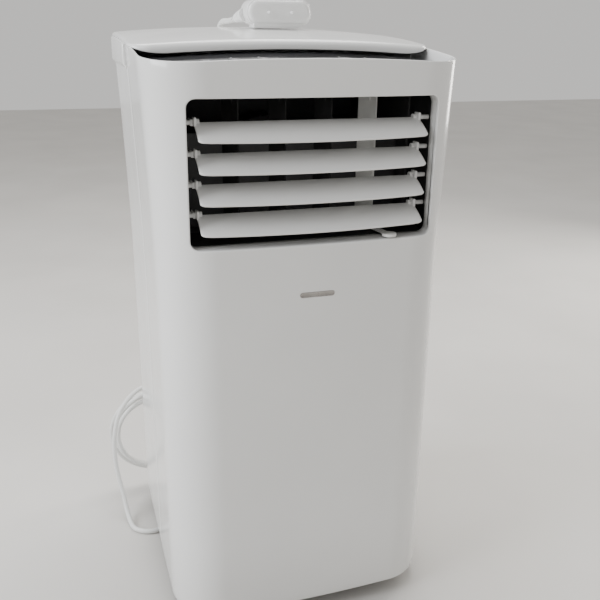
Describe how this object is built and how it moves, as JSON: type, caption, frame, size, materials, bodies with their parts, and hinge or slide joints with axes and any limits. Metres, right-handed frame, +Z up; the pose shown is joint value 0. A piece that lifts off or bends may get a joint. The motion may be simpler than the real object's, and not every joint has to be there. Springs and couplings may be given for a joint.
{
  "type": "portable air conditioner",
  "caption": "Upright portable air conditioner with a louvred front outlet, domed lid, rear exhaust collar, slide-out filter, swivel casters and a stored power cord.",
  "frame": {"origin": "on the floor under the middle of the unit, cord hook included and the free cord left out", "axes": "+Z up, the air outlet faces -Y, +X to the right seen from the front"},
  "size_m": [0.3995, 0.3731, 0.7367],
  "materials": {
    "shell_white": "gloss moulded",
    "deck_grey": "gloss smoked",
    "window_black": "gloss",
    "button_grey": "satin",
    "board_green": "solder mask",
    "louver_white": "gloss moulded",
    "duct_black": "moulded",
    "link_cream": "moulded",
    "vane_grey": "moulded",
    "fin_aluminium": "thin fins",
    "housing_grey": "moulded",
    "impeller_black": "moulded",
    "motor_steel": "zinc plated",
    "compressor_black": "stove enamel",
    "rubber_black": "moulded",
    "copper_tube": "drawn copper",
    "box_cream": "moulded",
    "pan_steel": "galvanised",
    "cup_white": "moulded",
    "filter_white": "moulded",
    "screw_steel": "zinc plated",
    "caster_black": "moulded",
    "wheel_grey": "moulded",
    "cord_white": "pvc sheath",
    "plug_white": "gloss moulded",
    "blade_brass": "plated"
  },
  "bodies": {
    "root": {"front_shell": "shell_white", "rear_casing": "shell_white", "top_lid": "shell_white", "control_panel": "deck_grey", "panel_window": "window_black", "control_board": "board_green", "louver_frame": "duct_black", "evaporator": "fin_aluminium", "blower_housing": "housing_grey", "blower_motor": "motor_steel", "drain_tray": "housing_grey", "condenser": "fin_aluminium", "fan_housing": "housing_grey", "fan_motor": "motor_steel", "exhaust_duct": "housing_grey", "compressor": "compressor_black", "compressor_feet": "rubber_black", "accumulator": "compressor_black", "refrigerant_pipes": "copper_tube", "control_box": "box_cream", "base_pan": "pan_steel", "handle_left": "cup_white", "handle_right": "cup_white", "lower_grille": "filter_white", "casing_screws": "screw_steel", "cord_gland": "cup_white", "cord_loop": "cord_white", "cord_coil": "cord_white", "cord_lead": "cord_white", "plug": "plug_white", "plug_blades": "blade_brass"},
    "button_power": {"button_power": "button_grey"},
    "button_mode": {"button_mode": "button_grey"},
    "button_fan": {"button_fan": "button_grey"},
    "button_up": {"button_up": "button_grey"},
    "button_down": {"button_down": "button_grey"},
    "button_timer": {"button_timer": "button_grey"},
    "louver_1": {"louver_1": "louver_white"},
    "vane_1": {"vane_1": "duct_black"},
    "louver_2": {"louver_2": "louver_white"},
    "vane_2": {"vane_2": "duct_black"},
    "louver_3": {"louver_3": "louver_white"},
    "vane_3": {"vane_3": "duct_black"},
    "louver_4": {"louver_4": "louver_white"},
    "vane_4": {"vane_4": "vane_grey"},
    "louver_link": {"louver_link": "link_cream"},
    "vane_link": {"vane_link": "duct_black"},
    "blower_wheel": {"blower_wheel": "impeller_black"},
    "fan_wheel": {"fan_wheel": "impeller_black"},
    "upper_filter": {"upper_filter": "filter_white"},
    "drain_plug_upper": {"drain_plug_upper": "rubber_black"},
    "drain_plug_lower": {"drain_plug_lower": "rubber_black"},
    "caster_front_left": {"caster_fork_front_left": "caster_black"},
    "wheels_front_left": {"wheels_front_left": "wheel_grey"},
    "caster_front_right": {"caster_fork_front_right": "caster_black"},
    "wheels_front_right": {"wheels_front_right": "wheel_grey"},
    "caster_rear_left": {"caster_fork_rear_left": "caster_black"},
    "wheels_rear_left": {"wheels_rear_left": "wheel_grey"},
    "caster_rear_right": {"caster_fork_rear_right": "caster_black"},
    "wheels_rear_right": {"wheels_rear_right": "wheel_grey"}
  },
  "joints": [
    {"name": "power_press", "type": "slide", "parent": "root", "child": "button_power", "axis": [0, 0.0628, -0.998], "range_m": [0, 0.0008], "stiffness_N_per_m": 1500},
    {"name": "mode_press", "type": "slide", "parent": "root", "child": "button_mode", "axis": [0, 0.0628, -0.998], "range_m": [0, 0.0008], "stiffness_N_per_m": 1500},
    {"name": "fan_press", "type": "slide", "parent": "root", "child": "button_fan", "axis": [0, 0.0628, -0.998], "range_m": [0, 0.0008], "stiffness_N_per_m": 1500},
    {"name": "up_press", "type": "slide", "parent": "root", "child": "button_up", "axis": [0, 0.0628, -0.998], "range_m": [0, 0.0008], "stiffness_N_per_m": 1500},
    {"name": "down_press", "type": "slide", "parent": "root", "child": "button_down", "axis": [0, 0.0628, -0.998], "range_m": [0, 0.0008], "stiffness_N_per_m": 1500},
    {"name": "timer_press", "type": "slide", "parent": "root", "child": "button_timer", "axis": [0, 0.0628, -0.998], "range_m": [0, 0.0008], "stiffness_N_per_m": 1500},
    {"name": "louver_1_tilt", "type": "hinge", "parent": "root", "child": "louver_1", "pos_m": [0, -0.148, 0.6145], "axis": [1, 0, 0], "range_deg": [-55, 6]},
    {"name": "louver_2_tilt", "type": "hinge", "parent": "root", "child": "louver_2", "pos_m": [0, -0.148, 0.5827], "axis": [1, 0, 0], "range_deg": [-55, 6]},
    {"name": "louver_3_tilt", "type": "hinge", "parent": "root", "child": "louver_3", "pos_m": [0, -0.148, 0.5509], "axis": [1, 0, 0], "range_deg": [-55, 6]},
    {"name": "louver_4_tilt", "type": "hinge", "parent": "root", "child": "louver_4", "pos_m": [0, -0.148, 0.5191], "axis": [1, 0, 0], "range_deg": [-55, 6]},
    {"name": "louver_link_swing", "type": "hinge", "parent": "louver_1", "child": "louver_link", "pos_m": [-0.1325, -0.137, 0.6145], "axis": [1, 0, 0], "range_deg": [-6, 55]},
    {"name": "vane_4_swing", "type": "hinge", "parent": "root", "child": "vane_4", "pos_m": [0.078, -0.122, 0.56], "axis": [0, 0, 1], "range_deg": [-62, 8]},
    {"name": "vane_1_swing", "type": "hinge", "parent": "root", "child": "vane_1", "pos_m": [-0.078, -0.122, 0.56], "axis": [0, 0, 1], "range_deg": [-62, 8]},
    {"name": "vane_2_swing", "type": "hinge", "parent": "root", "child": "vane_2", "pos_m": [-0.026, -0.122, 0.56], "axis": [0, 0, 1], "range_deg": [-62, 8]},
    {"name": "vane_3_swing", "type": "hinge", "parent": "root", "child": "vane_3", "pos_m": [0.026, -0.122, 0.56], "axis": [0, 0, 1], "range_deg": [-62, 8]},
    {"name": "vane_link_swing", "type": "hinge", "parent": "vane_4", "child": "vane_link", "pos_m": [0.0721, -0.11042, 0.494], "axis": [0, 0, 1], "range_deg": [-8, 62]},
    {"name": "blower_spin", "type": "hinge", "parent": "root", "child": "blower_wheel", "pos_m": [0, 0.043, 0.532], "axis": [0, 1, 0], "continuous": true},
    {"name": "fan_spin", "type": "hinge", "parent": "root", "child": "fan_wheel", "pos_m": [0, 0.043, 0.165], "axis": [0, 1, 0], "continuous": true},
    {"name": "filter_slide", "type": "slide", "parent": "root", "child": "upper_filter", "axis": [1, 0, 0], "range_m": [0, 0.2]},
    {"name": "drain_plug_upper_pull", "type": "slide", "parent": "root", "child": "drain_plug_upper", "axis": [0, 1, 0], "range_m": [0, 0.02]},
    {"name": "drain_plug_lower_pull", "type": "slide", "parent": "root", "child": "drain_plug_lower", "axis": [0, 1, 0], "range_m": [0, 0.02]},
    {"name": "swivel_front_left", "type": "hinge", "parent": "root", "child": "caster_front_left", "pos_m": [-0.105, -0.125, 0.04], "axis": [0, 0, 1], "continuous": true},
    {"name": "roll_front_left", "type": "hinge", "parent": "caster_front_left", "child": "wheels_front_left", "pos_m": [-0.105, -0.119, 0.016], "axis": [1, 0, 0], "continuous": true},
    {"name": "swivel_front_right", "type": "hinge", "parent": "root", "child": "caster_front_right", "pos_m": [0.105, -0.125, 0.04], "axis": [0, 0, 1], "continuous": true},
    {"name": "roll_front_right", "type": "hinge", "parent": "caster_front_right", "child": "wheels_front_right", "pos_m": [0.105, -0.119, 0.016], "axis": [1, 0, 0], "continuous": true},
    {"name": "swivel_rear_left", "type": "hinge", "parent": "root", "child": "caster_rear_left", "pos_m": [-0.105, 0.091, 0.04], "axis": [0, 0, 1], "continuous": true},
    {"name": "roll_rear_left", "type": "hinge", "parent": "caster_rear_left", "child": "wheels_rear_left", "pos_m": [-0.105, 0.097, 0.016], "axis": [1, 0, 0], "continuous": true},
    {"name": "swivel_rear_right", "type": "hinge", "parent": "root", "child": "caster_rear_right", "pos_m": [0.105, 0.091, 0.04], "axis": [0, 0, 1], "continuous": true},
    {"name": "roll_rear_right", "type": "hinge", "parent": "caster_rear_right", "child": "wheels_rear_right", "pos_m": [0.105, 0.097, 0.016], "axis": [1, 0, 0], "continuous": true}
  ],
  "couplings": [
    {"joint": "louver_2_tilt", "follows": "louver_1_tilt", "ratio": 1},
    {"joint": "louver_3_tilt", "follows": "louver_1_tilt", "ratio": 1},
    {"joint": "louver_4_tilt", "follows": "louver_1_tilt", "ratio": 1},
    {"joint": "louver_link_swing", "follows": "louver_1_tilt", "ratio": -1},
    {"joint": "vane_1_swing", "follows": "vane_4_swing", "ratio": 1},
    {"joint": "vane_2_swing", "follows": "vane_4_swing", "ratio": 1},
    {"joint": "vane_3_swing", "follows": "vane_4_swing", "ratio": 1},
    {"joint": "vane_link_swing", "follows": "vane_4_swing", "ratio": -1}
  ]
}
